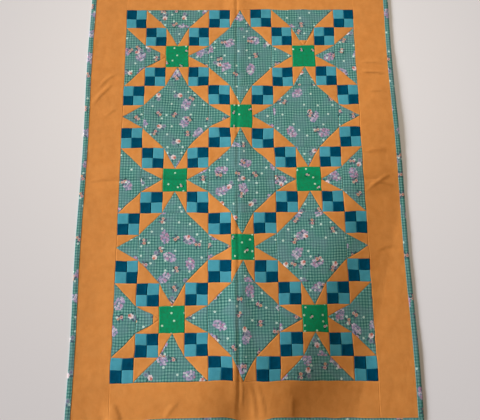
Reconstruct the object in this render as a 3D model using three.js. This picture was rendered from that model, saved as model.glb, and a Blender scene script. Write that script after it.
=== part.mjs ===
// A patchwork quilt lying on a flat surface: a pieced panel, four plain border
// strips and four strips of gingham print that bind its edge. Millimetres, +Z up,
// +Y towards the head end. The cloth lies in a low ridge that rises towards the foot
// end, with soft folds at the hem, and it keeps the two creases in which it was stored.
import * as THREE from 'three';

// ---- driving dimensions -------------------------------------------------------
const NARROW = 97;         // finished side of a narrow unit of the patchwork
const WIDE_COLUMN = 108.5; // finished width of every third column
const WIDE_ROW = 113;      // finished height of every third row
const COLUMNS = 11;
const ROWS = 17;
const SIDE_BORDER = 155;   // plain border along each side
const END_BORDER = 140;    // plain border at the head and at the foot
const BINDING = 22;        // gingham strip around the edge
const THICK = 3;           // top, backing and what lies between them
const BINDING_THICK = 3.6; // the binding is folded over the edge, so it is a little thicker
const GAP = 0.3;           // between neighbouring pieces, at the seams

const spanOf = (count, narrow, wide) =>
  Array.from({ length: count }, (_, i) => (i % 3 === 2 ? wide : narrow)).reduce((a, b) => a + b, 0);
const PANEL_X = spanOf(COLUMNS, NARROW, WIDE_COLUMN) / 2; // half the patchwork's width
const PANEL_Y = spanOf(ROWS, NARROW, WIDE_ROW) / 2;       // half its length
const BORDER_X = PANEL_X + SIDE_BORDER;
const BORDER_Y = PANEL_Y + END_BORDER;
const EDGE_X = BORDER_X + BINDING;
const EDGE_Y = BORDER_Y + BINDING;

// ---- the long ridge -----------------------------------------------------------
// The quilt doesn't lie quite flat: it keeps a low ridge along its lengthwise crease,
// highest at the hem and gone near the head. hem_x, top_x: its crest at the hem and
// where it ends; left_hem to right_top: how far its flanks reach there; rise: its
// height at the hem; top_y: where it ends. Its left flank is one gentle slope. Its
// right flank loses the share fall of its height slowly, and from its shoulder on,
// which is at a share of its reach, it drops to the foot along a curve of the power
// drop. The free hem droops: the ridge loses the share droop over droop_length.
const RIDGE = {
  hem_x: -43, top_x: -20, left_hem: 688, left_top: 670, right_hem: 520, right_top: 980,
  rise: 47, top_y: 770, shoulder_hem: 0.43, shoulder_top: 0.88, fall_hem: 0.5, fall_top: 0.25,
  drop_hem: 1.67, drop_top: 1, foot_soft: 0.12, shoulder_soft: 0.18, droop: 0.36, droop_length: 230,
};

// ---- folds at the foot end ----------------------------------------------------
// Each is a long soft fold, or a valley where its rise is below 0, that is deepest at
// the hem and dies out up the cloth. hem_x, top_x: its middle at the hem and where it
// ends; left, right: how far its flanks reach at the hem; rise: its height there;
// top_y: where it ends.
const HEM_FOLDS = [
  { name: 'broad_swell',   hem_x: -215, top_x: -130, left: 440, right: 190, rise: 7,   top_y: -640 },
  { name: 'centre_valley', hem_x: -4,   top_x: -10,  left: 125, right: 135, rise: -8,  top_y: -730 },
  { name: 'left_tuck',     hem_x: -520, top_x: -560, left: 60,  right: 45,  rise: 5,   top_y: -905 },
];
const FOLD_NARROWS = 0.35; // share of a fold's width that it loses on the way up

// ---- storage creases ----------------------------------------------------------
// The cloth stands a little proud on both sides of a crease. rise: height of the two
// shoulders; crest: how far they are from the crease; reach: where they end; fade:
// length over which the crease dies out.
const CREASES = [
  { name: 'lengthwise', x0: -17, y0: 1010, x1: -24, y1: -1010, rise: 2.4, crest: 20, reach: 85, fade: 90 },
  { name: 'crosswise',  x0: -690, y0: 3,   x1: 690, y1: -4,   rise: 2.2, crest: 20, reach: 95,  fade: 90 },
];
// The lengthwise crease takes up cloth, so the cloth beside it is drawn in: by how
// much, how far off it is the most, and where it ends.
const DRAWN_IN = { most: 4.5, at: 48, reach: 125 };
// Raised cloth lies nearer the middle of the foot end, by its height over this length.
const FOOT_MIDDLE = { x: -33, y: -649, length: 2160 };

// ---- how far the hem and the seams stray from straight lines ------------------
const HEM_LINE = [ // drop: how far the hem sags past its straight line at x
  { x: -728, drop: 9 }, { x: -480, drop: 12 }, { x: -370, drop: 3 }, { x: -290, drop: 1 }, { x: -90, drop: -1 },
  { x: -5, drop: 11 }, { x: 70, drop: 11 }, { x: 130, drop: 2 }, { x: 320, drop: 4 }, { x: 365, drop: 7 },
  { x: 420, drop: 5 }, { x: 520, drop: 9 }, { x: 728, drop: 9 },
];
const HEM_REACH = 210;     // the hem's waviness dies out over this length
const STRAYS = [ // a seam crossing near x, y lies this far off its place
  { x: -502, y: 815, dx: -3, dy: 0 },    { x: 103, y: 815, dx: 0, dy: 5 },      { x: 502, y: 815, dx: 4, dy: -2 },
  { x: 200, y: 509, dx: -2, dy: -7 },    { x: -103, y: 412, dx: -3, dy: 4 },    { x: 502, y: 412, dx: 3, dy: -1 },
  { x: 103, y: 202, dx: -4, dy: -9 },    { x: -300, y: 105, dx: 3, dy: -7 },    { x: -502, y: 202, dx: -2, dy: -2 },
  { x: 200, y: 0, dx: -4, dy: -2 },      { x: -300, y: -105, dx: 2, dy: 4 },    { x: 103, y: -202, dx: -4, dy: 2 },
  { x: 502, y: -202, dx: 0, dy: 3 },     { x: 103, y: -412, dx: -1, dy: -4 },   { x: -405, y: -509, dx: -4, dy: -3 },
  { x: -200, y: -718, dx: 1, dy: 4 },    { x: 405, y: -718, dx: 3, dy: -5 },    { x: -103, y: -815, dx: 5, dy: 5 },
  { x: 502, y: -815, dx: 4, dy: -5 },    { x: -502, y: -815, dx: -4, dy: -1 },
];
const STRAY_REACH = 120;
const EDGE_WAVE = 2.5;     // the outer edge runs this unevenly

// ---- shape functions ----------------------------------------------------------
const clamp01 = (t) => Math.min(1, Math.max(0, t));
const ease = (t) => { const u = clamp01(t); return u * u * (3 - 2 * u); };
const bell = (u) => (Math.abs(u) < 1 ? 0.5 * (1 + Math.cos(Math.PI * u)) : 0);

// the lower of a and b, rounded where they meet
const softMin = (a, b, soft) => 0.5 * (a + b - Math.hypot(a - b, soft));

function ridge(r, x, y) {
  const up = clamp01((y + EDGE_Y) / (r.top_y + EDGE_Y));
  const between = (hem, top) => hem + (top - hem) * up;
  const crest = between(r.hem_x, r.top_x);
  const drooped = 1 - r.droop * (1 - ease((y + EDGE_Y) / r.droop_length));
  const height = r.rise * (1 - ease(up)) * drooped;
  if (x < crest) {
    const v = clamp01(1 - (crest - x) / between(r.left_hem, r.left_top));
    const soft = r.foot_soft;
    return (height * (Math.hypot(v, soft) - soft)) / (Math.hypot(1, soft) - soft);
  }
  const shoulder = between(r.shoulder_hem, r.shoulder_top);
  const fall = between(r.fall_hem, r.fall_top);
  const drop = between(r.drop_hem, r.drop_top);
  const profile = (u) => softMin(
    1 - fall * u,
    (1 - fall * shoulder) * ((1 - u) / (1 - shoulder)) ** drop,
    r.shoulder_soft,
  );
  const u = clamp01((x - crest) / between(r.right_hem, r.right_top));
  return height * Math.max(0, profile(u) / profile(0));
}

function hemFold(fold, x, y) {
  const up = clamp01((y + EDGE_Y) / (fold.top_y + EDGE_Y));
  const crest = fold.hem_x + (fold.top_x - fold.hem_x) * up;
  const width = (x < crest ? fold.left : fold.right) * (1 - FOLD_NARROWS * up);
  return fold.rise * bell((x - crest) / width) * (1 - ease(up));
}

function crease(row, x, y) {
  const length = Math.hypot(row.x1 - row.x0, row.y1 - row.y0);
  const ux = (row.x1 - row.x0) / length;
  const uy = (row.y1 - row.y0) / length;
  const along = (x - row.x0) * ux + (y - row.y0) * uy;
  const off = Math.abs((x - row.x0) * uy - (y - row.y0) * ux);
  const ends = ease(along / row.fade) * ease((length - along) / row.fade);
  const side = off < row.crest ? Math.sin((Math.PI / 2) * (off / row.crest)) : bell((off - row.crest) / (row.reach - row.crest));
  return row.rise * side * ends;
}

// height of the cloth's underside over the surface
function liftAt(x, y) {
  let lift = ridge(RIDGE, x, y);
  for (const fold of HEM_FOLDS) lift += hemFold(fold, x, y);
  let creased = 0;
  for (const row of CREASES) creased = Math.max(creased, crease(row, x, y));
  return Math.max(0, lift + creased);
}

function hemDrop(x) {
  if (x <= HEM_LINE[0].x) return HEM_LINE[0].drop;
  for (let i = 1; i < HEM_LINE.length; i++) {
    const a = HEM_LINE[i - 1];
    const b = HEM_LINE[i];
    if (x <= b.x) return a.drop + (b.drop - a.drop) * ease((x - a.x) / (b.x - a.x));
  }
  return HEM_LINE[HEM_LINE.length - 1].drop;
}

// where a point of the straight plan comes to lie
function strayed(x, y) {
  let px = x;
  let py = y;
  for (const s of STRAYS) {
    const near = bell(Math.hypot(x - s.x, y - s.y) / STRAY_REACH);
    px += s.dx * near;
    py += s.dy * near;
  }
  py -= hemDrop(x) * (1 - ease((y + BORDER_Y) / HEM_REACH));
  px += EDGE_WAVE * Math.sin(y / 143 + 0.6) * ease((Math.abs(x) - PANEL_X) / SIDE_BORDER);
  py += EDGE_WAVE * Math.sin(x / 121 + 1.9) * ease((y - PANEL_Y) / END_BORDER);
  const off = x - CREASES[0].x0;
  const near = ease(Math.abs(off) / DRAWN_IN.at) * (1 - ease((Math.abs(off) - DRAWN_IN.at) / (DRAWN_IN.reach - DRAWN_IN.at)));
  px -= DRAWN_IN.most * Math.sign(off) * near;
  const raised = liftAt(x, y) / FOOT_MIDDLE.length;
  px += (FOOT_MIDDLE.x - px) * raised;
  py += (FOOT_MIDDLE.y - py) * raised;
  return [px, py];
}

// ---- plan lines: closer together where the cloth bends ------------------------
function linesBetween(from, to, step) {
  const n = Math.max(1, Math.round((to - from) / step));
  return Array.from({ length: n + 1 }, (_, i) => from + ((to - from) * i) / n);
}
const joined = (...lists) => {
  const all = lists.flat().sort((a, b) => a - b);
  return all.filter((v, i) => i === 0 || v - all[i - 1] > 1e-6);
};
const X_LINES = joined(
  linesBetween(-PANEL_X, -340, 60), linesBetween(-340, -124, 43), linesBetween(-124, -40, 28),
  [-20, 0, 20, 38, 56], linesBetween(56, 116, 30), linesBetween(116, 476, 36), linesBetween(476, PANEL_X, 38),
);
const Y_LINES = joined(
  linesBetween(-PANEL_Y, -640, 45), linesBetween(-640, -95, 68), [-50, -20.5, -0.5, 19.5, 50],
  linesBetween(95, 640, 78), linesBetween(640, PANEL_Y, 75),
);
const END_LINES = { foot: linesBetween(-BORDER_Y, -PANEL_Y, 35), head: linesBetween(PANEL_Y, BORDER_Y, 47) };
const SIDE_LINES = { left: linesBetween(-BORDER_X, -PANEL_X, 52), right: linesBetween(PANEL_X, BORDER_X, 52) };

const inset = (lines, low, high) => {
  const out = lines.slice();
  out[0] += low;
  out[out.length - 1] -= high;
  return out;
};

// ---- one closed sheet over a set of plan lines --------------------------------
// thick(x, y) is the cloth's thickness there.
function sheet(name, xs, ys, thick, material) {
  const nx = xs.length;
  const ny = ys.length;
  const positions = [];
  for (const top of [0, 1]) {
    for (const y of ys) {
      for (const x of xs) {
        const [px, py] = strayed(x, y);
        positions.push(px, py, liftAt(x, y) + top * thick(x, y));
      }
    }
  }
  const at = (top, i, j) => top * nx * ny + j * nx + i;
  const faces = [];
  const quad = (a, b, c, d) => faces.push(a, b, c, a, c, d);
  for (let j = 0; j < ny - 1; j++) {
    for (let i = 0; i < nx - 1; i++) {
      quad(at(1, i, j), at(1, i + 1, j), at(1, i + 1, j + 1), at(1, i, j + 1));
      quad(at(0, i, j), at(0, i, j + 1), at(0, i + 1, j + 1), at(0, i + 1, j));
    }
  }
  for (let i = 0; i < nx - 1; i++) {
    quad(at(0, i, 0), at(0, i + 1, 0), at(1, i + 1, 0), at(1, i, 0));
    quad(at(0, i + 1, ny - 1), at(0, i, ny - 1), at(1, i, ny - 1), at(1, i + 1, ny - 1));
  }
  for (let j = 0; j < ny - 1; j++) {
    quad(at(0, 0, j + 1), at(0, 0, j), at(1, 0, j), at(1, 0, j + 1));
    quad(at(0, nx - 1, j), at(0, nx - 1, j + 1), at(1, nx - 1, j + 1), at(1, nx - 1, j));
  }
  const geometry = new THREE.BufferGeometry();
  geometry.setAttribute('position', new THREE.Float32BufferAttribute(positions, 3));
  geometry.setIndex(faces);
  geometry.computeVertexNormals();
  const mesh = new THREE.Mesh(geometry, material);
  mesh.name = name;
  return mesh;
}

const cloth = () => THICK;
// the binding rounds down to its outer edge
const roundedTo = (distance) => (x, y) => {
  const d = distance(x, y) / BINDING;
  return BINDING_THICK * (d > 0.97 ? 0.45 : d > 0.85 ? 0.86 : 1);
};
const acrossBinding = [0, 0.55, 0.88, 1].map((s) => s * BINDING);

// ---- materials ----------------------------------------------------------------
const patchworkCotton = new THREE.MeshStandardMaterial({ color: 0x5f9288, roughness: 0.9, metalness: 0 });
const orangeCotton = new THREE.MeshStandardMaterial({ color: 0xcb8742, roughness: 0.9, metalness: 0 });
const ginghamPrint = new THREE.MeshStandardMaterial({ color: 0x628c89, roughness: 0.9, metalness: 0 });

// ---- pieces -------------------------------------------------------------------
const quilt = new THREE.Group();
const FULL_Y = joined(END_LINES.foot, Y_LINES, END_LINES.head);
const FULL_X = joined(SIDE_LINES.left, X_LINES, SIDE_LINES.right);

quilt.add(sheet('patchwork_panel', X_LINES, Y_LINES, cloth, patchworkCotton));

// the head and foot borders are as wide as the patchwork, between the side borders
quilt.add(sheet('border_top', X_LINES, inset(END_LINES.head, GAP, 0), cloth, orangeCotton));
quilt.add(sheet('border_bottom', X_LINES, inset(END_LINES.foot, 0, GAP), cloth, orangeCotton));
quilt.add(sheet('border_left', inset(SIDE_LINES.left, 0, GAP), FULL_Y, cloth, orangeCotton));
quilt.add(sheet('border_right', inset(SIDE_LINES.right, GAP, 0), FULL_Y, cloth, orangeCotton));

// the side bindings stop at the head and foot bindings, which run the full width
const bindingX = acrossBinding.map((s) => BORDER_X + s);
const bindingY = acrossBinding.map((s) => BORDER_Y + s);
const mirrored = (lines) => lines.map((v) => -v).reverse();
const ENDS_X = joined(mirrored(bindingX), FULL_X, bindingX);
const past = (half, axis) => (x, y) => Math.abs(axis === 'x' ? x : y) - half;
quilt.add(sheet('binding_left', inset(mirrored(bindingX), 0, GAP), FULL_Y, roundedTo(past(BORDER_X, 'x')), ginghamPrint));
quilt.add(sheet('binding_right', inset(bindingX, GAP, 0), FULL_Y, roundedTo(past(BORDER_X, 'x')), ginghamPrint));
const atCorner = (x, y) => Math.max(Math.abs(x) - BORDER_X, Math.abs(y) - BORDER_Y);
quilt.add(sheet('binding_top', ENDS_X, inset(bindingY, GAP, 0), roundedTo(atCorner), ginghamPrint));
quilt.add(sheet('binding_bottom', ENDS_X, inset(mirrored(bindingY), 0, GAP), roundedTo(atCorner), ginghamPrint));

// ---- origin: the middle of the whole quilt, on the surface it lies on ---------
const box = new THREE.Box3().setFromObject(quilt);
quilt.position.set(-(box.min.x + box.max.x) / 2, -(box.min.y + box.max.y) / 2, -box.min.z);

export default quilt;
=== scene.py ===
import math

import bpy
import numpy as np
from mathutils import Matrix, Vector
from mathutils.geometry import delaunay_2d_cdt


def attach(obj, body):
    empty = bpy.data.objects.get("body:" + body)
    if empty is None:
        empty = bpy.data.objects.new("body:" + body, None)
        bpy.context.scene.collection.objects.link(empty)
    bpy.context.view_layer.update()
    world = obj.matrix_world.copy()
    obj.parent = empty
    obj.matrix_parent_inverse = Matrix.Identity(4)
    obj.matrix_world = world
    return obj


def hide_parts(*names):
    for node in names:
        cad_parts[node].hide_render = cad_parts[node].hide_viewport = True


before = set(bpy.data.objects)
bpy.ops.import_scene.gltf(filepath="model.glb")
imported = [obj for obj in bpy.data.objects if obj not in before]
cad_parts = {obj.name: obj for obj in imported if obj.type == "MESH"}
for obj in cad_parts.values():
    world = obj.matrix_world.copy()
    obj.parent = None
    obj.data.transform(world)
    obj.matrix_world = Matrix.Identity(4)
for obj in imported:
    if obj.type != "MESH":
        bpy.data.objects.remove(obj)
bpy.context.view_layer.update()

# ---------------------------------------------------------------- camera
MM = 0.001
SHIFT_X, SHIFT_Y = -0.00015, 3.68152  # the patchwork's middle in the part's frame
THICK = 3.0

camera = bpy.data.objects.new("camera", bpy.data.cameras.new("camera"))
bpy.context.scene.collection.objects.link(camera)
camera.data.sensor_fit = "HORIZONTAL"
camera.data.sensor_width = 36.0
camera.data.lens = 37.5
camera.data.clip_end = 50
look = Vector((0.01020, 0.22836, -0.97352)).normalized()
up = Vector((0.00807, 0.97352, 0.22844))
side = look.cross(up).normalized()
up = side.cross(look).normalized()
camera.matrix_world = Matrix((
    (side.x, up.x, -look.x, (-33.3 + SHIFT_X) * MM),
    (side.y, up.y, -look.y, (-648.8 + SHIFT_Y) * MM),
    (side.z, up.z, -look.z, (2161.0 + THICK) * MM),
    (0, 0, 0, 1),
))
bpy.context.scene.camera = camera

# ---------------------------------------------------------------- sizes
NARROW, WIDE_COLUMN, WIDE_ROW = 97.0, 108.5, 113.0
COLUMNS, ROWS = 11, 17
SIDE_BORDER, END_BORDER, BINDING = 155.0, 140.0, 22.0
GAP = 0.3


def edges_of(count, wide):
    """Places of the grid's lines, from two units before its start to two past its end."""
    sizes = [wide if i % 3 == 2 else NARROW for i in range(-2, count + 2)]
    at = np.concatenate([[0], np.cumsum(sizes)])
    inner = at[2 : count + 3]
    return at - (inner[0] + inner[-1]) / 2


COLUMN_LINES = edges_of(COLUMNS, WIDE_COLUMN)
ROW_LINES = -edges_of(ROWS, WIDE_ROW)  # row 0 is at the head


def X(c):
    return float(COLUMN_LINES[c + 2])


def Y(r):
    return float(ROW_LINES[r + 2])


PANEL_X, PANEL_Y = X(COLUMNS), Y(0)
BORDER_X, BORDER_Y = PANEL_X + SIDE_BORDER, PANEL_Y + END_BORDER
EDGE_X, EDGE_Y = BORDER_X + BINDING, BORDER_Y + BINDING

# ---------------------------------------------------------------- folds, as in the part's source
RIDGE = dict(
    hem_x=-43, top_x=-20, left_hem=688, left_top=670, right_hem=520, right_top=980,
    rise=47, top_y=770, shoulder_hem=0.43, shoulder_top=0.88, fall_hem=0.5, fall_top=0.25,
    drop_hem=1.67, drop_top=1.0, foot_soft=0.12, shoulder_soft=0.18, droop=0.36, droop_length=230,
)
HEM_FOLDS = [  # hem_x, top_x, left, right, rise, top_y
    dict(hem_x=-215, top_x=-130, left=440, right=190, rise=7, top_y=-640),
    dict(hem_x=-4, top_x=-10, left=125, right=135, rise=-8, top_y=-730),
    dict(hem_x=-520, top_x=-560, left=60, right=45, rise=5, top_y=-905),
]
FOLD_NARROWS = 0.35
CREASES = [  # a storage crease lies between two low shoulders; the lengthwise one is sharper than the part's solids
    dict(x0=-17, y0=1010, x1=-24, y1=-1010, rise=1.7, crest=13, reach=85, fade=90),
    dict(x0=-690, y0=3, x1=690, y1=-4, rise=2.2, crest=20, reach=95, fade=90),
]
DRAWN_IN = dict(most=4.5, at=48, reach=125)
FOOT_MIDDLE = dict(x=-33, y=-649, length=2160)
HEM_LINE = [
    (-728, 9), (-480, 12), (-370, 3), (-290, 1), (-90, -1), (-5, 11), (70, 11), (130, 2),
    (320, 4), (365, 7), (420, 5), (520, 9), (728, 9),
]
HEM_REACH = 210
STRAYS = [  # x, y, dx, dy
    (-502, 815, -3, 0), (103, 815, 0, 5), (502, 815, 4, -2), (200, 509, -2, -7), (-103, 412, -3, 4),
    (502, 412, 3, -1), (103, 202, -4, -9), (-300, 105, 3, -7), (-502, 202, -2, -2), (200, 0, -4, -2),
    (-300, -105, 2, 4), (103, -202, -4, 2), (502, -202, 0, 3), (103, -412, -1, -4), (-405, -509, -4, -3),
    (-200, -718, 1, 4), (405, -718, 3, -5), (-103, -815, 5, 5), (502, -815, 4, -5), (-502, -815, -4, -1),
]
STRAY_REACH = 120
EDGE_WAVE = 2.5
# Small wrinkles that only the surface has. from, to, rise and half width, in mm; left is the half width to the left of
# one that runs up the cloth; painted_crease_shade is how dark a painted shade line is drawn on its side away from the
# light.
WRINKLES = [
    dict(x0=-700, y0=362, x1=-590, y1=482, rise=1.6, half=15),
    dict(x0=-672, y0=452, x1=-585, y1=530, rise=1.2, half=13),
    dict(x0=-640, y0=300, x1=-575, y1=352, rise=0.8, half=14),
    dict(x0=-700, y0=-8, x1=-556, y1=4, rise=1.0, half=12),
    dict(x0=556, y0=524, x1=700, y1=520, rise=2.4, half=9, painted_crease_shade=1.0),
    dict(x0=560, y0=577, x1=690, y1=573, rise=1.7, half=9),
    dict(x0=590, y0=430, x1=690, y1=427, rise=1.0, half=11),
    dict(x0=556, y0=128, x1=665, y1=138, rise=1.3, half=13),
    dict(x0=556, y0=-58, x1=680, y1=22, rise=2.2, half=10),
    dict(x0=556, y0=-6, x1=700, y1=-40, rise=1.3, half=10),
    dict(x0=575, y0=-330, x1=680, y1=-300, rise=0.7, half=14),
    dict(x0=-545, y0=-935, x1=-500, y1=-1012, rise=1.3, half=13),
    dict(x0=-330, y0=-1015, x1=-262, y1=-925, rise=0.8, half=16),
    dict(x0=172, y0=-1070, x1=196, y1=-850, rise=2.1, half=52, left=150, painted_crease_shade=0.0),
    dict(x0=194, y0=-1015, x1=198, y1=-915, rise=0.7, half=12),
    dict(x0=-60, y0=935, x1=40, y1=905, rise=0.7, half=16),
    dict(x0=-21, y0=-835, x1=-15, y1=-968, rise=0.9, half=9, painted_crease_shade=1.0),
    dict(x0=18, y0=-850, x1=44, y1=-1020, rise=1.0, half=16),
    dict(x0=46, y0=-865, x1=82, y1=-1018, rise=0.9, half=17),
]


def ease(t):
    t = np.clip(t, 0, 1)
    return t * t * (3 - 2 * t)


def bell(u):
    return np.where(np.abs(u) < 1, 0.5 * (1 + np.cos(np.pi * np.clip(u, -1, 1))), 0.0)


def ridge(x, y):
    r = RIDGE
    rising = np.clip((y + EDGE_Y) / (r["top_y"] + EDGE_Y), 0, 1)

    def between(key):
        return r[key + "_hem"] + (r[key + "_top"] - r[key + "_hem"]) * rising

    crest = r["hem_x"] + (r["top_x"] - r["hem_x"]) * rising
    soft = r["foot_soft"]
    v = np.clip(1 - (crest - x) / between("left"), 0, 1)
    on_left = (np.hypot(v, soft) - soft) / (math.hypot(1, soft) - soft)
    shoulder, fall = between("shoulder"), between("fall")

    def profile(u):
        slow = 1 - fall * u
        fast = (1 - fall * shoulder) * ((1 - u) / (1 - shoulder)) ** between("drop")
        return 0.5 * (slow + fast - np.hypot(slow - fast, r["shoulder_soft"]))

    u = np.clip((x - crest) / between("right"), 0, 1)
    on_right = np.maximum(0, profile(u) / profile(np.zeros_like(u)))
    drooped = 1 - r["droop"] * (1 - ease((y + EDGE_Y) / r["droop_length"]))
    return r["rise"] * (1 - ease(rising)) * drooped * np.where(x < crest, on_left, on_right)


def main_lift(x, y):
    """Height of the cloth's underside, in mm: the ridge, folds and creases of the part's source."""
    lift = ridge(x, y)
    for f in HEM_FOLDS:
        rising = np.clip((y + EDGE_Y) / (f["top_y"] + EDGE_Y), 0, 1)
        crest = f["hem_x"] + (f["top_x"] - f["hem_x"]) * rising
        width = np.where(x < crest, f["left"], f["right"]) * (1 - FOLD_NARROWS * rising)
        lift += f["rise"] * bell((x - crest) / width) * (1 - ease(rising))
    creased = np.zeros_like(x)
    for c in CREASES:
        length = math.hypot(c["x1"] - c["x0"], c["y1"] - c["y0"])
        ux, uy = (c["x1"] - c["x0"]) / length, (c["y1"] - c["y0"]) / length
        along = (x - c["x0"]) * ux + (y - c["y0"]) * uy
        off = np.abs((x - c["x0"]) * uy - (y - c["y0"]) * ux)
        ends = ease(along / c["fade"]) * ease((length - along) / c["fade"])
        beside = np.where(
            off < c["crest"], np.sin(np.pi / 2 * off / c["crest"]), bell((off - c["crest"]) / (c["reach"] - c["crest"]))
        )
        creased = np.maximum(creased, c["rise"] * beside * ends)
    return np.maximum(0, lift + creased)


def waves(seed, length, spread=0.35, count=9):
    """A smooth uneven field: a sum of sine waves about length mm long, in seeded directions, about -1 to 1."""
    rng = np.random.default_rng(seed)
    size = length * (1 + spread * rng.uniform(-1, 1, count))
    turn, phase = rng.uniform(0, 2 * np.pi, (2, count))

    def field(x, y):
        total = np.zeros_like(x)
        for s, t, p in zip(size, turn, phase):
            total += np.sin(2 * np.pi * (x * np.cos(t) + y * np.sin(t)) / s + p)
        return total / math.sqrt(count * 0.5) / 1.8

    return field


slow_wave, mid_wave, small_wave = waves(11, 330), waves(12, 120), waves(13, 46)
drift_x, drift_y = waves(21, 150), waves(22, 150)
near_x, near_y = waves(23, 52), waves(24, 52)


def fine_lift(x, y):
    """Small unevenness over the part's folds, in mm, never below 0."""
    z = 0.30 * (1 + slow_wave(x, y)) + 0.17 * (1 + mid_wave(x, y)) + 0.07 * (1 + small_wave(x, y))
    for w in WRINKLES:
        length = math.hypot(w["x1"] - w["x0"], w["y1"] - w["y0"])
        ux, uy = (w["x1"] - w["x0"]) / length, (w["y1"] - w["y0"]) / length
        along = (x - w["x0"]) * ux + (y - w["y0"]) * uy
        bow = 0.05 * length * np.sin(np.pi * np.clip(along / length, 0, 1))
        off = (x - w["x0"]) * uy - (y - w["y0"]) * ux + bow
        half = np.where(off > 0, w["half"], w.get("left", w["half"]))
        z += w["rise"] * bell(off / half) * ease(along / (0.35 * length)) * ease((length - along) / (0.35 * length))
    return np.maximum(0, z)


def lift(x, y):
    return main_lift(x, y) + fine_lift(x, y)


def creased(x, y):
    """How much painted shade darkens the cloth at a point, 0 to 1: a dark line on each wrinkle's side away from the
    light, and dark lines along the storage creases.
    """
    painted_crease_shade = np.zeros_like(x)
    for w in WRINKLES:
        length = math.hypot(w["x1"] - w["x0"], w["y1"] - w["y0"])
        ux, uy = (w["x1"] - w["x0"]) / length, (w["y1"] - w["y0"]) / length
        along = (x - w["x0"]) * ux + (y - w["y0"]) * uy
        bow = 0.05 * length * np.sin(np.pi * np.clip(along / length, 0, 1))
        off = (x - w["x0"]) * uy - (y - w["y0"]) * ux + bow
        ends = ease(along / (0.35 * length)) * ease((length - along) / (0.35 * length))
        foot = 0.55 * w["half"] * (1 if 0.97 * uy + 0.24 * ux > 0 else -1)  # the side away from the light, where the painted shade line lies
        painted_crease_shade = np.maximum(painted_crease_shade, w.get("painted_crease_shade", 0.5) * bell((off - foot) / 7.0) * ends)
    # painted shade along the two storage creases, stronger on the crosswise one
    for c, strength in zip(CREASES, (0.5, 0.7)):
        length = math.hypot(c["x1"] - c["x0"], c["y1"] - c["y0"])
        ux, uy = (c["x1"] - c["x0"]) / length, (c["y1"] - c["y0"]) / length
        along = (x - c["x0"]) * ux + (y - c["y0"]) * uy
        off = (x - c["x0"]) * uy - (y - c["y0"]) * ux
        ends = ease(along / c["fade"]) * ease((length - along) / c["fade"])
        painted_crease_shade = np.maximum(painted_crease_shade, strength * bell(off / 6.0) * ends)
    return painted_crease_shade


HEM_X, HEM_DROP = np.array(HEM_LINE, float).T


def strayed(x, y):
    """Where a point of the straight plan comes to lie, in mm."""
    px, py = x.copy(), y.copy()
    for sx, sy, dx, dy in STRAYS:
        near = bell(np.hypot(x - sx, y - sy) / STRAY_REACH)
        px += dx * near
        py += dy * near
    i = np.clip(np.searchsorted(HEM_X, x) - 1, 0, len(HEM_X) - 2)
    drop = HEM_DROP[i] + (HEM_DROP[i + 1] - HEM_DROP[i]) * ease((x - HEM_X[i]) / (HEM_X[i + 1] - HEM_X[i]))
    py -= drop * (1 - ease((y + BORDER_Y) / HEM_REACH))
    px += EDGE_WAVE * np.sin(y / 143 + 0.6) * ease((np.abs(x) - PANEL_X) / SIDE_BORDER)
    py += EDGE_WAVE * np.sin(x / 121 + 1.9) * ease((y - PANEL_Y) / END_BORDER)
    off = x - CREASES[0]["x0"]
    away = (np.abs(off) - DRAWN_IN["at"]) / (DRAWN_IN["reach"] - DRAWN_IN["at"])
    px -= DRAWN_IN["most"] * np.sign(off) * ease(np.abs(off) / DRAWN_IN["at"]) * (1 - ease(away))
    raised = main_lift(x, y) / FOOT_MIDDLE["length"]
    px += (FOOT_MIDDLE["x"] - px) * raised
    py += (FOOT_MIDDLE["y"] - py) * raised
    return px, py


def place(x, y, z):
    """Plan points and heights in mm become metres in the part's frame. Seams wander a little, as sewn ones do."""
    px, py = strayed(x, y)
    inside = ease((EDGE_X - np.abs(x)) / 60) * ease((EDGE_Y - np.abs(y)) / 60)
    px = px + inside * (1.3 * drift_x(x, y) + 0.7 * near_x(x, y))
    py = py + inside * (1.3 * drift_y(x, y) + 0.7 * near_y(x, y))
    return np.stack([(px + SHIFT_X) * MM, (py + SHIFT_Y) * MM, z * MM], axis=1)


# ---------------------------------------------------------------- mesh making
class Cloth:
    """Gathers triangles and quads into one mesh with a map in metres of cloth and three numbers a point."""

    def __init__(self):
        self.points, self.faces, self.maps, self.seam, self.tone, self.painted_crease_shade = [], [], [], [], [], []
        self.count = 0

    def add(self, points, faces, uv, seam, tone, painted_crease_shade=0.0):
        self.points.append(points)
        self.maps.append(uv)
        self.seam.append(np.broadcast_to(np.asarray(seam, float), (len(points),)))
        self.tone.append(np.full(len(points), float(tone)))
        self.painted_crease_shade.append(np.broadcast_to(np.asarray(painted_crease_shade, float), (len(points),)))
        self.faces += [tuple(int(i) + self.count for i in f) for f in faces]
        self.count += len(points)

    def object(self, name, material, slot):
        mesh = bpy.data.meshes.new(name)
        points = np.concatenate(self.points)
        mesh.from_pydata(points.tolist(), [], self.faces)
        mesh.update()
        loops = np.empty(len(mesh.loops), np.int32)
        mesh.loops.foreach_get("vertex_index", loops)
        layer = mesh.uv_layers.new(name="Cloth")
        layer.data.foreach_set("uv", np.concatenate(self.maps)[loops].astype(np.float32).ravel())
        for key, values in (("seam", self.seam), ("tone", self.tone), ("painted_crease_shade", self.painted_crease_shade)):
            attribute = mesh.attributes.new(key, "FLOAT", "POINT")
            attribute.data.foreach_set("value", np.concatenate(values).astype(np.float32))
        mesh.polygons.foreach_set("use_smooth", np.ones(len(mesh.polygons), bool))
        mesh.materials.append(material)
        piece = bpy.data.objects.new(name, mesh)
        bpy.context.scene.collection.objects.link(piece)
        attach(piece, "root")
        return piece


def spaced(a, b, step):
    return np.linspace(a, b, max(1, int(round(abs(b - a) / step))) + 1)


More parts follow.
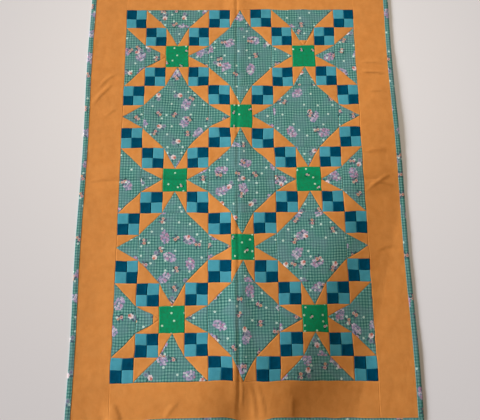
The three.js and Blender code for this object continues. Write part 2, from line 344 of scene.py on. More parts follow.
def inset(polygon, d):
    """A convex polygon, drawn anticlockwise, moved in by d."""
    n = len(polygon)
    out = []
    for i in range(n):
        p, q, r = polygon[i - 1], polygon[i], polygon[(i + 1) % n]
        a, b = (q - p) / np.linalg.norm(q - p), (r - q) / np.linalg.norm(r - q)
        na, nb = np.array([-a[1], a[0]]), np.array([-b[1], b[0]])
        k = 1 + float(na @ nb)
        out.append(q + (na + nb) * d / k)
    return np.array(out)


def depth_in(polygon, p):
    """How far points are inside a convex polygon's nearest edge."""
    best = np.full(len(p), 1e9)
    for i in range(len(polygon)):
        a, b = polygon[i], polygon[(i + 1) % len(polygon)]
        t = (b - a) / np.linalg.norm(b - a)
        best = np.minimum(best, (p - a) @ np.array([-t[1], t[0]]))
    return np.maximum(best, 0)


RINGS = (0.0, 0.9, 2.2, 4.2, 7.0)  # how far in from a seam the lines of a patch lie


def patch_points(polygon, step):
    """Points, edges and triangles of one patch: close lines along its seams and an even field inside."""
    points, edges = [], []
    for d in RINGS:
        ring = inset(polygon, d) if d else polygon
        area = 0.5 * sum(
            ring[i - 1][0] * ring[i][1] - ring[i][0] * ring[i - 1][1] for i in range(len(ring))
        )
        if area < 30:
            break
        along = []
        for i in range(len(ring)):
            a, b = ring[i], ring[(i + 1) % len(ring)]
            n = max(1, int(round(np.linalg.norm(b - a) / min(step, 6.5))))
            along += [a + (b - a) * k / n for k in range(n)]
        first = len(points)
        points += along
        edges += [(first + i, first + (i + 1) % len(along)) for i in range(len(along))]
    low, high = polygon.min(0), polygon.max(0)
    row_step = step * math.sqrt(3) / 2
    rows = int((high[1] - low[1]) / row_step) + 2
    cols = int((high[0] - low[0]) / step) + 2
    field = np.array(
        [
            (low[0] + step * (i + 0.5 * (j % 2)), low[1] + row_step * (j + 0.5))
            for j in range(rows)
            for i in range(cols)
        ]
    )
    field = field[depth_in(polygon, field) > RINGS[-1] + 0.45 * step]
    points += [p for p in field]
    made = delaunay_2d_cdt([Vector(p) for p in points], edges, [], 1, 1e-5, False)
    return np.array([tuple(v) for v in made[0]], float), made[2]


def patch_height(depth, proud, crown, dip=0.6):
    """Height over the batting's level: it dips into the seam, is raised over the turned allowance, and swells a little."""
    dip = -dip * np.exp(-((depth / 1.25) ** 1.3))
    allowance = proud * 0.5 * ease((depth - 0.8) / 1.6) * (1 - ease((depth - 5.2) / 2.6))
    return dip + allowance + crown * (1 - np.exp(-depth / 15))


def sew(cloth, corners, rng, step=8.0, proud=0.5, crown=0.5, turn=0.0, quarter=False):
    """Adds one patch. corners are its plan corners in mm, anticlockwise."""
    polygon = np.array(corners, float)
    flat, triangles = patch_points(polygon, step)
    depth = depth_in(polygon, flat)
    x, y = flat.T
    z = lift(x, y) + THICK + patch_height(depth, proud, crown)
    angle = math.radians(turn + rng.normal(0, 0.9)) + (math.pi / 2 if quarter and rng.random() < 0.4 else 0)
    middle = polygon.mean(0)
    dx, dy = x - middle[0], y - middle[1]
    offset = rng.uniform(200, 4000, 2)
    uv = np.stack(
        [
            (dx * math.cos(angle) + dy * math.sin(angle) + offset[0]) * MM,
            (-dx * math.sin(angle) + dy * math.cos(angle) + offset[1]) * MM,
        ],
        axis=1,
    )
    # the last number is the painted crease shade of each point
    cloth.add(place(x, y, z), triangles, uv, depth, rng.uniform(0, 1), creased(x, y))


def anticlockwise(p):
    p = np.array(p, float)
    area = sum(p[i - 1][0] * p[i][1] - p[i][0] * p[i - 1][1] for i in range(len(p)))
    return p if area > 0 else p[::-1]


def clipped(p, low, high):
    """A convex polygon cut to the box from low to high."""
    p = [np.array(q, float) for q in p]
    for axis in (0, 1):
        for bound, sign in ((low[axis], 1), (high[axis], -1)):
            out = []
            for i in range(len(p)):
                a, b = p[i - 1], p[i]
                fa, fb = sign * (a[axis] - bound), sign * (b[axis] - bound)
                if (fa >= 0) != (fb >= 0):
                    out.append(a + (b - a) * fa / (fa - fb))
                if fb >= 0:
                    out.append(b)
            p = out
            if not p:
                return None
    keep = [q for i, q in enumerate(p) if np.linalg.norm(q - p[i - 1]) > 1e-6]
    return np.array(keep) if len(keep) > 2 else None


# ---------------------------------------------------------------- materials
def srgb(r, g, b):
    """A colour given as 0 to 255 screen values, as the shader's linear one."""
    return tuple((v / 255 / 12.92) if v <= 10 else ((v / 255 + 0.055) / 1.055) ** 2.4 for v in (r, g, b)) + (1.0,)


class Look:
    """A material and the few kinds of node it is made of. Lengths in it are millimetres of cloth."""

    def __init__(self, name):
        self.material = bpy.data.materials.new(name)
        self.material.use_nodes = True
        self.tree = self.material.node_tree
        self.tree.nodes.clear()
        self.out = self.node("ShaderNodeOutputMaterial")
        self.shader = self.node("ShaderNodeBsdfPrincipled")
        self.tree.links.new(self.shader.outputs[0], self.out.inputs[0])
        uv = self.node("ShaderNodeUVMap")
        uv.uv_map = "Cloth"
        self.mm = self.vector("SCALE", uv.outputs[0], scale=1000.0)

    def node(self, kind, **settings):
        made = self.tree.nodes.new(kind)
        for key, value in settings.items():
            setattr(made, key, value)
        return made

    def feed(self, socket, value):
        if isinstance(value, bpy.types.NodeSocket):
            self.tree.links.new(value, socket)
        else:
            socket.default_value = value

    def math(self, operation, a, b=None, c=None, clamp=False):
        n = self.node("ShaderNodeMath", operation=operation, use_clamp=clamp)
        for socket, value in zip(n.inputs, (a, b, c)):
            if value is not None:
                self.feed(socket, value)
        return n.outputs[0]

    def vector(self, operation, a, b=None, scale=None):
        n = self.node("ShaderNodeVectorMath", operation=operation)
        self.feed(n.inputs[0], a)
        if b is not None:
            self.feed(n.inputs[1], b)
        if scale is not None:
            self.feed(n.inputs["Scale"], scale)
        return n.outputs["Value"] if operation in ("LENGTH", "DISTANCE", "DOT_PRODUCT") else n.outputs[0]

    def mix(self, factor, a, b, blend="MIX"):
        n = self.node("ShaderNodeMix", data_type="RGBA", blend_type=blend, clamp_factor=True)
        self.feed(n.inputs[0], factor)
        self.feed(n.inputs[6], a)
        self.feed(n.inputs[7], b)
        return n.outputs[2]

    def between(self, value, low, high, at_low=0.0, at_high=1.0, kind="SMOOTHSTEP"):
        n = self.node("ShaderNodeMapRange", interpolation_type=kind, clamp=True)
        for socket, v in zip(n.inputs, (value, low, high, at_low, at_high)):
            self.feed(socket, v)
        return n.outputs[0]

    def split(self, vector):
        n = self.node("ShaderNodeSeparateXYZ")
        self.feed(n.inputs[0], vector)
        return n.outputs[0], n.outputs[1], n.outputs[2]

    def join(self, x, y, z=0.0):
        n = self.node("ShaderNodeCombineXYZ")
        for socket, v in zip(n.inputs, (x, y, z)):
            self.feed(socket, v)
        return n.outputs[0]

    def number(self, name):
        return self.node("ShaderNodeAttribute", attribute_name=name, attribute_type="GEOMETRY").outputs["Fac"]

    def noise(self, size, detail=2.0, rough=0.5, along=None, vector=None):
        """Noise about size mm across, or stretched to along = (x, y) mm, from 0 to 1."""
        v = self.mm if vector is None else vector
        if along:
            x, y, _ = self.split(v)
            v = self.join(self.math("DIVIDE", x, along[0]), self.math("DIVIDE", y, along[1]))
            size = 1.0
        n = self.node("ShaderNodeTexNoise", noise_dimensions="2D")
        self.feed(n.inputs["Vector"], v)
        self.feed(n.inputs["Scale"], 1.0 / size)
        self.feed(n.inputs["Detail"], detail)
        self.feed(n.inputs["Roughness"], rough)
        return n.outputs[0]

    def scatter(self, cell, start, randomness=0.8, vector=None):
        """Points strewn about one a cell. Gives the place relative to the nearest, three random numbers of it, and where it is."""
        v = self.vector("ADD", self.mm if vector is None else vector, start)
        v = self.vector("SCALE", v, scale=1.0 / cell)
        n = self.node("ShaderNodeTexVoronoi", voronoi_dimensions="2D", feature="F1")
        self.feed(n.inputs["Vector"], v)
        self.feed(n.inputs["Scale"], 1.0)
        self.feed(n.inputs["Randomness"], randomness)
        local = self.vector("SCALE", self.vector("SUBTRACT", v, n.outputs["Position"]), scale=cell)
        at = self.vector("SUBTRACT", self.vector("SCALE", n.outputs["Position"], scale=cell), start)
        return local, self.split(n.outputs["Color"]), at

    def turned(self, vector, angle):
        n = self.node("ShaderNodeVectorRotate", rotation_type="Z_AXIS")
        self.feed(n.inputs["Vector"], vector)
        self.feed(n.inputs["Angle"], angle)
        return n.outputs[0]

    def flower(self, base, local, radius, petals, notch, outer, inner, eye, spin=0.0, soft=0.5, there=None):
        """Lays one round flower over base: petals with a lighter rim, a darker throat and an eye."""
        x, y, _ = self.split(local)
        angle = self.math("ADD", self.math("ARCTAN2", y, x), spin)
        lobes = self.math("COSINE", self.math("MULTIPLY", angle, float(petals)))
        far = self.vector("LENGTH", local)
        edge = self.math("MULTIPLY", self.math("MULTIPLY_ADD", lobes, notch / 2, 1 - notch / 2), radius)
        over = self.math("SUBTRACT", edge, far)
        mask = self.between(over, -soft, soft)
        if there is not None:
            mask = self.math("MULTIPLY", mask, there)
        share = self.math("DIVIDE", far, edge)
        colour = self.mix(self.between(share, 0.30, 0.85), inner, outer)
        colour = self.mix(self.between(share, 0.36, 0.12), colour, eye)
        return self.mix(mask, base, colour)

    def leaf(self, base, local, dx, dy, length, width, angle, colour, there=None):
        v = self.vector("SUBTRACT", local, (dx, dy, 0.0))
        v = self.turned(v, angle)
        v = self.vector("DIVIDE", v, (length, width, 1.0))
        mask = self.between(self.vector("LENGTH", v), 1.12, 0.88)
        if there is not None:
            mask = self.math("MULTIPLY", mask, there)
        return self.mix(mask, base, colour)

    def finish(self, colour, thread=1.1, weave=0.06, crinkle=0.15, pucker=0.20, sheen=0.06, rough=0.86, shade=0.22, gloss=0.08):
        """Weave, slubs, painted seam shadow, painted shade along crease lines and small creases over a colour, and the
        shader's own numbers.
        """
        x, y, _ = self.split(self.mm)
        wander = self.noise(14.0, 1.0)
        warp = self.math("SINE", self.math("MULTIPLY", self.math("MULTIPLY_ADD", wander, 0.6, x), 2 * math.pi / thread))
        weft = self.math("SINE", self.math("MULTIPLY", self.math("MULTIPLY_ADD", wander, 0.6, y), 2 * math.pi / thread))
        cloth = self.math("MULTIPLY", warp, weft)
        slub_x = self.noise(1, 2.0, 0.6, along=(0.9, 26.0))
        slub_y = self.noise(1, 2.0, 0.6, along=(26.0, 0.9))
        slub = self.math("ADD", slub_x, slub_y)
        seam, tone = self.number("seam"), self.number("tone")
        cloudy = self.noise(70.0, 3.0, 0.6)
        light = self.math("MULTIPLY_ADD", tone, 0.07, 0.965)
        light = self.math("MULTIPLY", light, self.between(cloudy, 0.25, 0.75, 0.955, 1.045, "LINEAR"))
        light = self.math("MULTIPLY", light, self.between(slub, 0.6, 1.4, 0.955, 1.045, "LINEAR"))
        light = self.math("MULTIPLY", light, self.between(cloth, -1.0, 1.0, 0.97, 1.03, "LINEAR"))
        worn = self.math(
            "MULTIPLY", self.between(seam, 0.9, 2.2), self.between(seam, 5.5, 3.0)
        )  # the raised line beside a seam is rubbed a little paler
        light = self.math("MULTIPLY_ADD", worn, 0.05, light)
        light = self.math("MULTIPLY", light, self.between(seam, 0.0, 1.7, 1 - shade, 1.0))
        # painted shade: darkens the colour by up to 28 per cent on the wrinkles' sides away from the light and along
        # the storage creases
        light = self.math("MULTIPLY", light, self.between(self.number("painted_crease_shade"), 0.0, 1.0, 1.0, 0.72, "LINEAR"))
        grey = self.join(light, light, light)
        colour = self.mix(1.0, colour, grey, "MULTIPLY")
        self.feed(self.shader.inputs["Base Color"], colour)
        height = self.math("MULTIPLY", cloth, weave)
        height = self.math("MULTIPLY_ADD", slub, 0.10, height)
        creases = self.noise(24.0, 3.0, 0.62)
        height = self.math("MULTIPLY_ADD", creases, crinkle * 2.6, height)
        ripple = self.noise(6.0, 1.0, 0.5)
        beside = self.between(seam, 9.0, 0.5)
        height = self.math("MULTIPLY_ADD", self.math("MULTIPLY", ripple, beside), pucker, height)
        bump = self.node("ShaderNodeBump")
        bump.inputs["Strength"].default_value = 1.0
        bump.inputs["Distance"].default_value = 0.001
        self.feed(bump.inputs["Height"], height)
        self.feed(self.shader.inputs["Normal"], bump.outputs[0])
        self.feed(self.shader.inputs["Roughness"], self.between(cloudy, 0.2, 0.8, rough - 0.05, rough + 0.06, "LINEAR"))
        self.shader.inputs["Specular IOR Level"].default_value = gloss
        self.shader.inputs["Sheen Weight"].default_value = sheen
        self.shader.inputs["Sheen Roughness"].default_value = 0.45
        return self.material


def plain(name, colour, deeper, **settings):
    """Plain dyed cotton: colour, with a slightly deeper dye in clouds."""
    look = Look(name)
    base = look.mix(look.between(look.noise(38.0, 3.0, 0.6), 0.3, 0.75), srgb(*colour), srgb(*deeper))
    return look.finish(base, **settings)


CHECK = 12.4  # the gingham's repeat


def gingham(look, light, middle, dark):
    x, y, _ = look.split(look.mm)
    off = look.noise(60.0, 1.0)
    u = look.math("DIVIDE", look.math("MULTIPLY_ADD", off, 2.4, x), CHECK)
    v = look.math("DIVIDE", look.math("MULTIPLY_ADD", off, -2.4, y), CHECK)
    bands = []
    for t in (u, v):
        centre = look.math("ABSOLUTE", look.math("SUBTRACT", look.math("FRACT", t), 0.5))
        bands.append(look.between(centre, 0.255, 0.205))
    first = look.mix(bands[0], srgb(*light), srgb(*middle))
    second = look.mix(bands[0], srgb(*middle), srgb(*dark))
    base = look.mix(bands[1], first, second)
    return look.mix(look.between(look.noise(85.0, 2.0, 0.6), 0.38, 0.68, 0.0, 0.48), base, srgb(108, 139, 147))


def posy(look, base, cell, start, keep, roses, leaves, soft=0.9, turn=0.78):
    """Small sprays of two or three roses with leaves."""
    local, (a, b, c), _ = look.scatter(cell, start, turn)
    there = look.math("LESS_THAN", a, keep)
    local = look.turned(local, look.math("MULTIPLY", b, 6.283))
    for row in leaves:
        base = look.leaf(base, local, row["x"], row["y"], row["length"], row["width"], row["turn"], srgb(*row["colour"]), there)
    for row in roses:
        at = look.vector("SUBTRACT", local, (row["x"], row["y"], 0.0))
        pale = look.mix(c, srgb(*row["outer"]), srgb(*row["other"]))
        base = look.flower(
            base, at, row["radius"], row["petals"], 0.20, pale, srgb(*row["inner"]), srgb(*row["eye"]), c, soft, there
        )
    return base


def bouquet(look, base, cell, start, keep, reach):
    """Loose lilac and pink bouquets of many small florets."""
    local, (a, b, c), _ = look.scatter(cell, start, 0.8)
    there = look.math("LESS_THAN", a, keep)
    local = look.turned(local, look.math("MULTIPLY", b, 6.283))
    oval = look.vector("MULTIPLY", local, (0.80, 1.12, 1.0))
    ragged = look.math("MULTIPLY_ADD", look.noise(10.0, 2.0), 18.0, look.vector("LENGTH", oval))
    ground = look.math("MULTIPLY", look.between(ragged, reach + 11.5, reach + 5.0), there)
    base = look.mix(look.math("MULTIPLY", ground, 0.6), base, srgb(118, 124, 146))
    spot, (p, q, s), at = look.scatter(9.6, look.join(look.math("MULTIPLY", b, 500.0), 37.0), 0.78, vector=local)
    near = look.math("MULTIPLY", look.math("LESS_THAN", look.vector("LENGTH", look.vector("MULTIPLY", at, (0.80, 1.12, 1.0))), reach), there)
    lilac = look.mix(p, srgb(150, 142, 186), srgb(206, 188, 210))
    outer = look.mix(look.math("GREATER_THAN", q, 0.62), lilac, srgb(234, 226, 232))
    outer = look.mix(look.math("GREATER_THAN", s, 0.78), outer, srgb(196, 128, 156))
    base = look.flower(base, spot, 4.9, 5, 0.30, outer, srgb(144, 118, 160), srgb(206, 190, 186), p, 0.9, near)
    return base


def flower_gingham(name, seed, **settings):
    """Green gingham printed with roses, lilac bouquets and small white flowers."""
    look = Look(name)
    k = 1000.0 * seed
    base = gingham(look, (124, 174, 160), (76, 136, 124), (38, 92, 94))
    faded = look.between(look.noise(52.0, 2.0), 0.32, 0.72, 0.0, 0.42)
    base = look.mix(faded, base, srgb(76, 136, 126))
    base = bouquet(look, base, 124.0, (k + 31.0, 57.0, 0.0), 0.68, 23.0)
    # a pale rose beside a greyer one
    base = posy(
        look, base, 112.0, (k + 411.0, 911.0, 0.0), 0.62,
        roses=[
            dict(x=11.5, y=-2.0, radius=11.0, petals=5, outer=(142, 148, 162), other=(128, 154, 156), inner=(120, 124, 144), eye=(98, 104, 132)),
            dict(x=-9.0, y=1.5, radius=12.0, petals=6, outer=(228, 220, 214), other=(216, 196, 206), inner=(216, 192, 182), eye=(196, 140, 126)),
            dict(x=-14.5, y=4.5, radius=6.6, petals=4, outer=(202, 140, 112), other=(194, 118, 118), inner=(184, 108, 92), eye=(172, 98, 88)),
        ],
        leaves=[
            dict(x=-2.0, y=14.5, length=8.5, width=3.6, turn=-1.3, colour=(46, 94, 92)),
            dict(x=3.0, y=-14.0, length=8.0, width=3.4, turn=0.9, colour=(74, 92, 108)),
        ],
    )
    # muted orange and pink pairs in dark leaves
    base = posy(
        look, base, 88.0, (k + 11.0, 211.0, 0.0), 0.66,
        roses=[
            dict(x=-6.0, y=3.0, radius=7.8, petals=5, outer=(204, 160, 134), other=(200, 168, 176), inner=(178, 122, 104), eye=(146, 92, 90)),
            dict(x=6.5, y=-4.0, radius=6.6, petals=5, outer=(212, 190, 178), other=(204, 160, 116), inner=(180, 124, 120), eye=(148, 96, 102)),
        ],
        leaves=[
            dict(x=10.0, y=6.5, length=8.0, width=3.8, turn=-0.7, colour=(56, 90, 98)),
            dict(x=-2.0, y=11.5, length=8.0, width=3.4, turn=-1.5, colour=(84, 90, 112)),
            dict(x=-13.5, y=-4.5, length=8.0, width=3.6, turn=0.5, colour=(48, 92, 86)),
            dict(x=-1.0, y=-11.5, length=8.0, width=3.4, turn=1.2, colour=(88, 92, 112)),
        ],
    )
    local, (a, b, c), _ = look.scatter(54.0, (k + 5.0, 307.0, 0.0), 0.85)
    there = look.math("LESS_THAN", a, 0.64)
    base = look.flower(base, local, 5.4, 5, 0.30, srgb(206, 230, 220), srgb(172, 208, 196), srgb(206, 206, 150), look.math("MULTIPLY", b, 6.283), 0.8, there)
    return look.finish(base, **settings)


def flower_green(name, **settings):
    """Strong green cotton printed with small white flowers and a few pink sprigs."""
    look = Look(name)
    base = look.mix(look.between(look.noise(10.0, 3.0, 0.65), 0.42, 0.62), srgb(14, 142, 92), srgb(26, 128, 82))
    base = posy(
        look, base, 64.0, (19.0, 411.0, 0.0), 0.55,
        roses=[
            dict(x=-3.0, y=2.0, radius=5.0, petals=5, outer=(214, 190, 186), other=(196, 170, 196), inner=(170, 112, 120), eye=(130, 70, 84)),
            dict(x=4.5, y=-3.0, radius=3.6, petals=5, outer=(222, 214, 200), other=(206, 160, 150), inner=(180, 120, 110), eye=(140, 80, 70)),
        ],
        leaves=[
            dict(x=5.5, y=6.0, length=6.5, width=2.4, turn=-0.9, colour=(14, 78, 52)),
            dict(x=-9.0, y=-4.0, length=6.5, width=2.4, turn=0.5, colour=(14, 78, 52)),
        ],
    )
    local, (a, b, c), _ = look.scatter(39.0, (77.0, 503.0, 0.0), 0.8)
    base = look.flower(
        base, local, 4.9, 5, 0.36, srgb(208, 236, 214), srgb(150, 206, 170), srgb(214, 206, 120),
        look.math("MULTIPLY", b, 6.283), 0.5, look.math("LESS_THAN", a, 0.62),
    )
    return look.finish(base, **settings)


TEAL = plain("teal_cotton", (0, 74, 99), (0, 63, 87), sheen=0.0, gloss=0.02, shade=0.22)
TURQUOISE = plain("turquoise_cotton", (73, 156, 170), (66, 147, 162))
ORANGE = plain("orange_cotton", (213, 142, 72), (208, 134, 63), shade=0.08)
BORDER = plain("border_cotton", (215, 142, 70), (209, 135, 64), crinkle=0.20, shade=0.06)
BACKING = plain("backing_cotton", (214, 204, 186), (208, 198, 178), shade=0.2)
GINGHAM = flower_gingham("flower_gingham", 0)
BINDING_PRINT = flower_gingham("flower_gingham_strip", 3, crinkle=0.1)
GREEN = flower_green("flower_green", sheen=0.0, gloss=0.04)

# ---------------------------------------------------------------- the pieced panel
rng = np.random.default_rng(4096)
teal, turquoise, orange, green = Cloth(), Cloth(), Cloth(), Cloth()
FABRIC = {  # how proud the allowance stands, how much the patch swells, spacing of its points
    "teal": (teal, 1.0, 0.30, 9.0),
    "turquoise": (turquoise, 0.1, 0.30, 9.0),
    "orange": (orange, 0.3, 0.38, 9.0),
    "green": (green, 0.8, 0.42, 9.0),
}


def patch(fabric, corners, **settings):
    cloth, proud, crown, step = FABRIC[fabric]
    sew(cloth, anticlockwise(corners), rng, step=step, proud=proud, crown=crown, **settings)


def kind_of(c, r):
    falls, rises = (c - r) % 6 == 0, (c + r) % 6 == 4
    if falls and rises:
        return "square"
    return "falling" if falls else "rising" if rises else "star"


for r in range(ROWS):
    for c in range(COLUMNS):
        kind = kind_of(c, r)
        left, right, top, bottom = X(c), X(c + 1), Y(r), Y(r + 1)
        if kind == "square":
            patch("green", [(left, bottom), (right, bottom), (right, top), (left, top)], quarter=True)
        elif kind != "star":
            # four small squares, whose inner seams seldom meet quite in the middle
            mx, my = (left + right) / 2 + rng.normal(0, 0.8), (top + bottom) / 2 + rng.normal(0, 0.8)
            for i, (x0, x1) in enumerate(((left, mx), (mx, right))):
                for j, (y1, y0) in enumerate(((top, my), (my, bottom))):
                    dark = (i == j) == (kind == "falling")
                    patch("teal" if dark else "turquoise", [(x0, y0), (x1, y0), (x1, y1), (x0, y1)])

PANEL_LOW, PANEL_HIGH = (-PANEL_X, -PANEL_Y), (PANEL_X, PANEL_Y)
STARS = [
    (c, r) for r in range(-1, ROWS + 1) for c in range(-1, COLUMNS + 1) if (c - r) % 6 == 3 and (c + r) % 6 == 1
]
BLUNT_TIPS = ((1, 14), (8, 1), (1, 2))  # three spikes were cut short and sewn with their points blunt
star_pieces = []
for c, r in STARS:
    print_cloth = Cloth()
    xs, ys = [X(c + k) for k in (-1, 0, 1, 2)], [Y(r + k) for k in (-1, 0, 1, 2)]
    body = [
        (xs[1], ys[0]), (xs[2], ys[0]), (xs[3], ys[1]), (xs[3], ys[2]),
        (xs[2], ys[3]), (xs[1], ys[3]), (xs[0], ys[2]), (xs[0], ys[1]),
    ]
    body = clipped(anticlockwise(body), PANEL_LOW, PANEL_HIGH)
    if body is None:
        continue
    sew(print_cloth, body, rng, step=8.0, proud=0.5, crown=0.55, quarter=True)
    for dc in (-1, 1):
        for dr in (-1, 1):
            cc, rr = c + dc, r + dr
            if 0 <= cc < COLUMNS and 0 <= rr < ROWS:
                ox, ix = (X(cc), X(cc + 1)) if dc < 0 else (X(cc + 1), X(cc))
                oy, iy = (Y(rr), Y(rr + 1)) if dr < 0 else (Y(rr + 1), Y(rr))
                patch("orange", [(ox, oy), (ix, oy), (ox, iy)])
    for dc, dr in ((-2, 0), (2, 0), (0, -2), (0, 2)):
        cc, rr = c + dc, r + dr
        if not (0 <= cc < COLUMNS and 0 <= rr < ROWS):
            continue
        left, right, top, bottom = X(cc), X(cc + 1), Y(rr), Y(rr + 1)
        slip = rng.normal(0, 1.6)
        if dc:
            base_x, far_x = (right, left) if dc < 0 else (left, right)
            apex = np.array([far_x, (top + bottom) / 2 + slip])
            near_a, near_b = np.array([base_x, top]), np.array([base_x, bottom])
            far_a, far_b = np.array([far_x, top]), np.array([far_x, bottom])
        else:
            base_y, far_y = (bottom, top) if dr < 0 else (top, bottom)
            apex = np.array([(left + right) / 2 + slip, far_y])
            near_a, near_b = np.array([left, base_y]), np.array([right, base_y])
            far_a, far_b = np.array([left, far_y]), np.array([right, far_y])
        if (cc, rr) in BLUNT_TIPS:
            back = apex + (0.5 * (near_a + near_b) - apex) * 0.27
            cut_a, cut_b = back + (near_a - near_b) * 0.17, back + (near_b - near_a) * 0.17
            sew(print_cloth, anticlockwise([near_a, near_b, cut_b, cut_a]), rng, step=8.0, proud=0.5, crown=0.4, quarter=True)
            patch("orange", [near_a, cut_a, apex, far_a])
            patch("orange", [near_b, cut_b, apex, far_b])
            patch("orange", [cut_a, cut_b, apex])
        else:
            sew(print_cloth, anticlockwise([near_a, near_b, apex]), rng, step=8.0, proud=0.5, crown=0.4, quarter=True)
            patch("orange", [near_a, apex, far_a])
            patch("orange", [near_b, apex, far_b])
    star_pieces.append(print_cloth.object(f"star_{c + 1:02d}_{r + 1:02d}", GINGHAM, "patchwork"))

patch_pieces = star_pieces + [
    teal.object("teal_squares", TEAL, "patchwork"),
    turquoise.object("turquoise_squares", TURQUOISE, "patchwork"),
    orange.object("orange_patches", ORANGE, "patchwork"),
    green.object("green_squares", GREEN, "patchwork"),
]


# ---------------------------------------------------------------- closed sheets
def closed_sheet(name, xs, ys, top_of, under_of, material, slot, tone=0.5, seam_of=None):
    """A closed sheet over the plan lines xs, ys. top_of and under_of give the heights of its two faces."""
    cloth = Cloth()
    gx, gy = np.meshgrid(xs, ys)
    x, y = gx.ravel(), gy.ravel()
    nx, ny = len(xs), len(ys)
    n = nx * ny
    seam = np.full(n, 60.0) if seam_of is None else seam_of(x, y)
    points = np.concatenate([place(x, y, top_of(x, y)), place(x, y, under_of(x, y))])
    i = np.arange((ny - 1) * (nx - 1))
    a = (i // (nx - 1)) * nx + i % (nx - 1)
    faces = np.stack([a, a + 1, a + nx + 1, a + nx], 1).tolist()
    faces += np.stack([a + n, a + nx + n, a + nx + 1 + n, a + 1 + n], 1).tolist()
    loop = (
        list(range(nx)) + [nx * (k + 1) - 1 for k in range(1, ny)]
        + [n - 1 - k for k in range(1, nx)] + [nx * (ny - 1 - k) for k in range(1, ny - 1)]
    )
    for p, q in zip(loop, loop[1:] + loop[:1]):
        faces.append([p, p + n, q + n, q])
    uv = np.stack([x, y], 1) * MM
    # painted crease shade on the top face only
    painted_crease_shade = np.concatenate([creased(x, y), np.zeros(n)])
    cloth.add(points, faces, np.concatenate([uv, uv + 7.0]), np.concatenate([seam, np.full(n, 60.0)]), tone, painted_crease_shade)
    return cloth.object(name, material, slot)


def lines(low, high, step, close=(True, True)):
    """Plan lines from low to high, closer beside an edge that is a seam."""
    beside = [d for d in RINGS]
    start = [low + d for d in beside] if close[0] else [low]
    end = [high - d for d in reversed(beside)] if close[1] else [high]
    middle = spaced(start[-1], end[0], step)[1:-1]
    return np.array(start + list(middle) + end)


panel_sheet = closed_sheet(
    "panel_backing",
    spaced(-PANEL_X, PANEL_X, 12.0), spaced(-PANEL_Y, PANEL_Y, 12.0),
    lambda x, y: lift(x, y) + 1.4, lambda x, y: lift(x, y),
    BACKING, "patchwork",
)
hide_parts("patchwork_panel")


def border(name, x0, x1, y0, y1, tone):
    """A plain strip. Its seams dip; its face is a little uneven."""

    def depth(x, y):
        return np.minimum(np.minimum(x - x0, x1 - x), np.minimum(y - y0, y1 - y)).clip(0)

    def face(x, y):
        return lift(x, y) + THICK + patch_height(depth(x, y), 0.12, 0.2, 0.2)

    piece = closed_sheet(
        name, lines(x0, x1, 7.5), lines(y0, y1, 7.5), face, lambda x, y: lift(x, y), BORDER, "border_cotton", tone, depth
    )
    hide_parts(name.replace("cloth_", ""))
    return piece


border("cloth_border_left", -BORDER_X, -PANEL_X - GAP, -BORDER_Y, BORDER_Y, 0.45)
border("cloth_border_right", PANEL_X + GAP, BORDER_X, -BORDER_Y, BORDER_Y, 0.35)
border("cloth_border_top", -PANEL_X, PANEL_X, PANEL_Y + GAP, BORDER_Y, 0.6)
border("cloth_border_bottom", -PANEL_X, PANEL_X, -BORDER_Y, -PANEL_Y - GAP, 0.5)


# ---------------------------------------------------------------- the binding
def binding_profile():
    """The folded strip's section: distance out from the seam, height, and the cloth's own distance, round the outside and back inside."""
    top, t, far = 3.75, 0.45, BINDING
    outside = [(-1.1, top - 0.55), (-0.9, top - 0.12), (0.2, top + 0.02), (4, top + 0.05), (10, top + 0.08), (15, top + 0.02), (18.5, top - 0.25)]
    r = (top - 0.25) / 2
    outside += [(far - 2.6 + 2.6 * math.sin(a), r + r * math.cos(a)) for a in np.radians([35, 62, 90, 118, 145])]
    outside += [(18.0, 0.0), (10, 0.0), (1.0, 0.0)]
    inside = [(1.0, t), (10, t), (18.0, t)]
    inside += [(far - 2.9 + 2.2 * math.sin(a), r + (r - t) * math.cos(a)) for a in np.radians([130, 90, 50])]
    inside += [(17.5, top - 0.30 - t), (10, top + 0.05 - t), (2.0, top - t), (-0.7, top - 0.55)]
    return outside, inside


def binding(name, axis, sign, low, high):
    """One strip of print folded over the quilt's edge. axis is the one it runs along; its two ends are sewn flat."""
    outside, inside = binding_profile()
    section = outside + inside
    along = lines(low, high, 8.0)
    cloth = Cloth()
    m, n = len(section), len(along)
    s = np.array([p[0] for p in section])
    h = np.array([p[1] for p in section])
    run = np.concatenate([[0], np.cumsum(np.hypot(np.diff(s), np.diff(h)))])
    a, ss = np.meshgrid(along, s, indexing="ij")
    hh = np.broadcast_to(h, a.shape)
    edge = (BORDER_Y if axis == "x" else BORDER_X) + GAP
    out = edge + ss * (BINDING - GAP) / BINDING
    x, y = (a, sign * out) if axis == "x" else (sign * out, a)
    x, y = x.ravel(), y.ravel()
    end = np.minimum(a - low, high - a).ravel()
    squeeze = 0.30 + 0.70 * ease(end / 5.0) if axis == "x" else np.ones_like(end)
    uneven = 1 + 0.05 * mid_wave(x * 2.1, y * 2.1)
    z = lift(x, y) + hh.ravel() * squeeze * uneven
    z = np.maximum(z, lift(x, y))
    points = place(x, y, z)
    faces = []
    for i in range(n - 1):
        for j in range(m):
            k = (j + 1) % m
            faces.append((i * m + j, i * m + k, (i + 1) * m + k, (i + 1) * m + j))
    faces += [tuple(range(m)), tuple((n - 1) * m + j for j in reversed(range(m)))]
    if (axis == "x") != (sign > 0):
        faces = [tuple(reversed(f)) for f in faces]
    uv = np.stack([a.ravel() * MM, np.broadcast_to(run, a.shape).ravel() * MM + 3.0 + (0.4 if sign > 0 else 0.0) + (0.9 if axis == "x" else 0.0)], 1)
    seam = np.broadcast_to(np.where(h > 1.5, np.abs(s + 0.9), 60.0), a.shape).ravel()
    cloth.add(points, faces, uv, seam, 0.5)
    piece = cloth.object(name, BINDING_PRINT, "gingham_print")
    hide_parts(name.replace("cloth_", ""))
    return piece


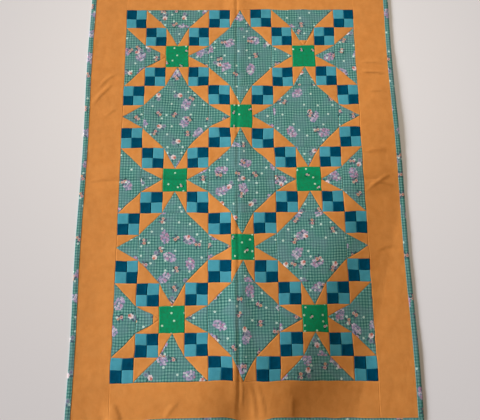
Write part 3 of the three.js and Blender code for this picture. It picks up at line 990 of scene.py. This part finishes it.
binding("cloth_binding_left", "y", -1, -BORDER_Y, BORDER_Y)
binding("cloth_binding_right", "y", 1, -BORDER_Y, BORDER_Y)
binding("cloth_binding_top", "x", 1, -EDGE_X, EDGE_X)
binding("cloth_binding_bottom", "x", -1, -EDGE_X, EDGE_X)

# ---------------------------------------------------------------- floor and light
floor_mesh = bpy.data.meshes.new("floor")
floor_mesh.from_pydata([(-9, -9, -0.0004), (9, -9, -0.0004), (9, 9, -0.0004), (-9, 9, -0.0004)], [], [(0, 1, 2, 3)])
floor = bpy.data.objects.new("floor", floor_mesh)
bpy.context.scene.collection.objects.link(floor)
floor_look = bpy.data.materials.new("floor")
floor_look.use_nodes = True
floor_shader = floor_look.node_tree.nodes["Principled BSDF"]
floor_shader.inputs["Base Color"].default_value = (0.80, 0.79, 0.77, 1)
floor_shader.inputs["Roughness"].default_value = 0.9
floor_shader.inputs["Specular IOR Level"].default_value = 0.2
floor_mesh.materials.append(floor_look)


def lamp(name, place_at, aim, size, power, colour):
    data = bpy.data.lights.new(name, "AREA")
    data.shape, data.size, data.size_y = "RECTANGLE", size[0], size[1]
    data.energy, data.color = power, colour
    lamp_object = bpy.data.objects.new(name, data)
    lamp_object.location = place_at
    direction = Vector(aim) - Vector(place_at)
    lamp_object.rotation_euler = direction.to_track_quat("-Z", "Y").to_euler()
    bpy.context.scene.collection.objects.link(lamp_object)
    return lamp_object


def sun(name, elevation, turn, angle, power, colour):
    """Soft light from far off to the left. turn: degrees from straight left towards the head end."""
    data = bpy.data.lights.new(name, "SUN")
    data.angle, data.energy, data.color = math.radians(angle), power, colour
    sun_object = bpy.data.objects.new(name, data)
    e, t = math.radians(elevation), math.radians(turn)
    towards = Vector((-math.cos(e) * math.cos(t), math.cos(e) * math.sin(t), math.sin(e)))
    sun_object.rotation_euler = (-towards).to_track_quat("-Z", "Y").to_euler()
    bpy.context.scene.collection.objects.link(sun_object)


sun("key", 10.5, 14.0, 11.0, 8.4, (0.97, 0.99, 1.10))
lamp("fill", (0.0, 0.60, 1.9), (0.0, 0.60, 0), (0.9, 0.9), 15.4, (1.0, 0.94, 0.84))
world = bpy.data.worlds.new("studio")
world.use_nodes = True
world.node_tree.nodes["Background"].inputs[0].default_value = (1.0, 0.69, 0.42, 1)
world.node_tree.nodes["Background"].inputs[1].default_value = 0.14
bpy.context.scene.world = world
bpy.context.scene.view_settings.view_transform = "Standard"
bpy.context.scene.view_settings.look = "None"
bpy.context.scene.view_settings.exposure = 0.0
bpy.context.scene.view_settings.gamma = 1.0
